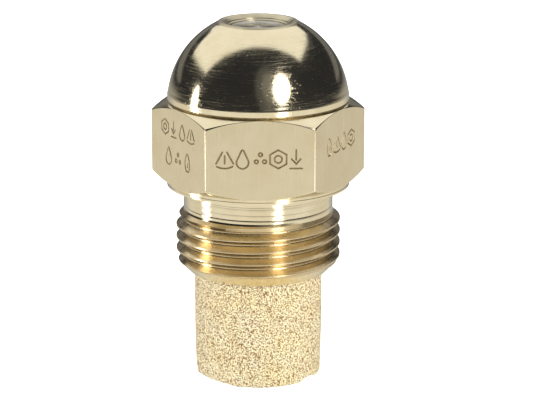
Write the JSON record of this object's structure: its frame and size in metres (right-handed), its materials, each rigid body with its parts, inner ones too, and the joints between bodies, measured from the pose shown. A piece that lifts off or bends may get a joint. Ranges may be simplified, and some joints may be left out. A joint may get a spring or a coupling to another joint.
{
  "type": "oil burner nozzle",
  "caption": "Brass oil burner nozzle with a domed nose, a hexagon and a threaded stem, with a steel spray disc inside and a sintered bronze filter behind it.",
  "frame": {"origin": "middle of the filter's flat foot, on the axis of the nozzle", "axes": "+Z along the axis, from the filter towards the spray tip; +Y and -Y are normal to two opposite flats of the hexagon"},
  "size_m": [0.0184, 0.016, 0.0314],
  "materials": {
    "body_brass": "polished on the dome, fine-ground on the flats, turned on the stem",
    "disc_steel": "fine-turned stainless steel",
    "distributor_steel": "fine-turned stainless steel",
    "screw_brass": "turned",
    "bush_brass": "turned",
    "filter_bronze": "porous, sintered from small round grains"
  },
  "bodies": {
    "nozzle_body": {"nozzle_body": "body_brass"},
    "orifice_disc": {"orifice_disc": "disc_steel"},
    "distributor": {"swirl_distributor": "distributor_steel"},
    "lock_screw": {"lock_screw": "screw_brass"},
    "filter": {"filter_bush": "bush_brass", "sintered_filter": "filter_bronze"}
  },
  "joints": [
    {"name": "distributor_lift", "type": "slide", "parent": "nozzle_body", "child": "distributor", "axis": [0, 0, -1], "range_m": [0, 0.00601]},
    {"name": "lock_screw_turn", "type": "hinge", "parent": "distributor", "child": "lock_screw", "pos_m": [0, 0, 0.0126], "axis": [0, 0, -1], "range_deg": [0, 2160]},
    {"name": "disc_lift", "type": "slide", "parent": "nozzle_body", "child": "orifice_disc", "axis": [0, 0, -1], "range_m": [0, 0.00301]},
    {"name": "filter_pull", "type": "slide", "parent": "lock_screw", "child": "filter", "axis": [0, 0, -1], "range_m": [0, 0.008]}
  ],
  "couplings": [
    {"joint": "distributor_lift", "follows": "lock_screw_turn", "m_per_rad": 0.00015915},
    {"joint": "disc_lift", "follows": "lock_screw_turn", "m_per_rad": 0.000079577}
  ]
}
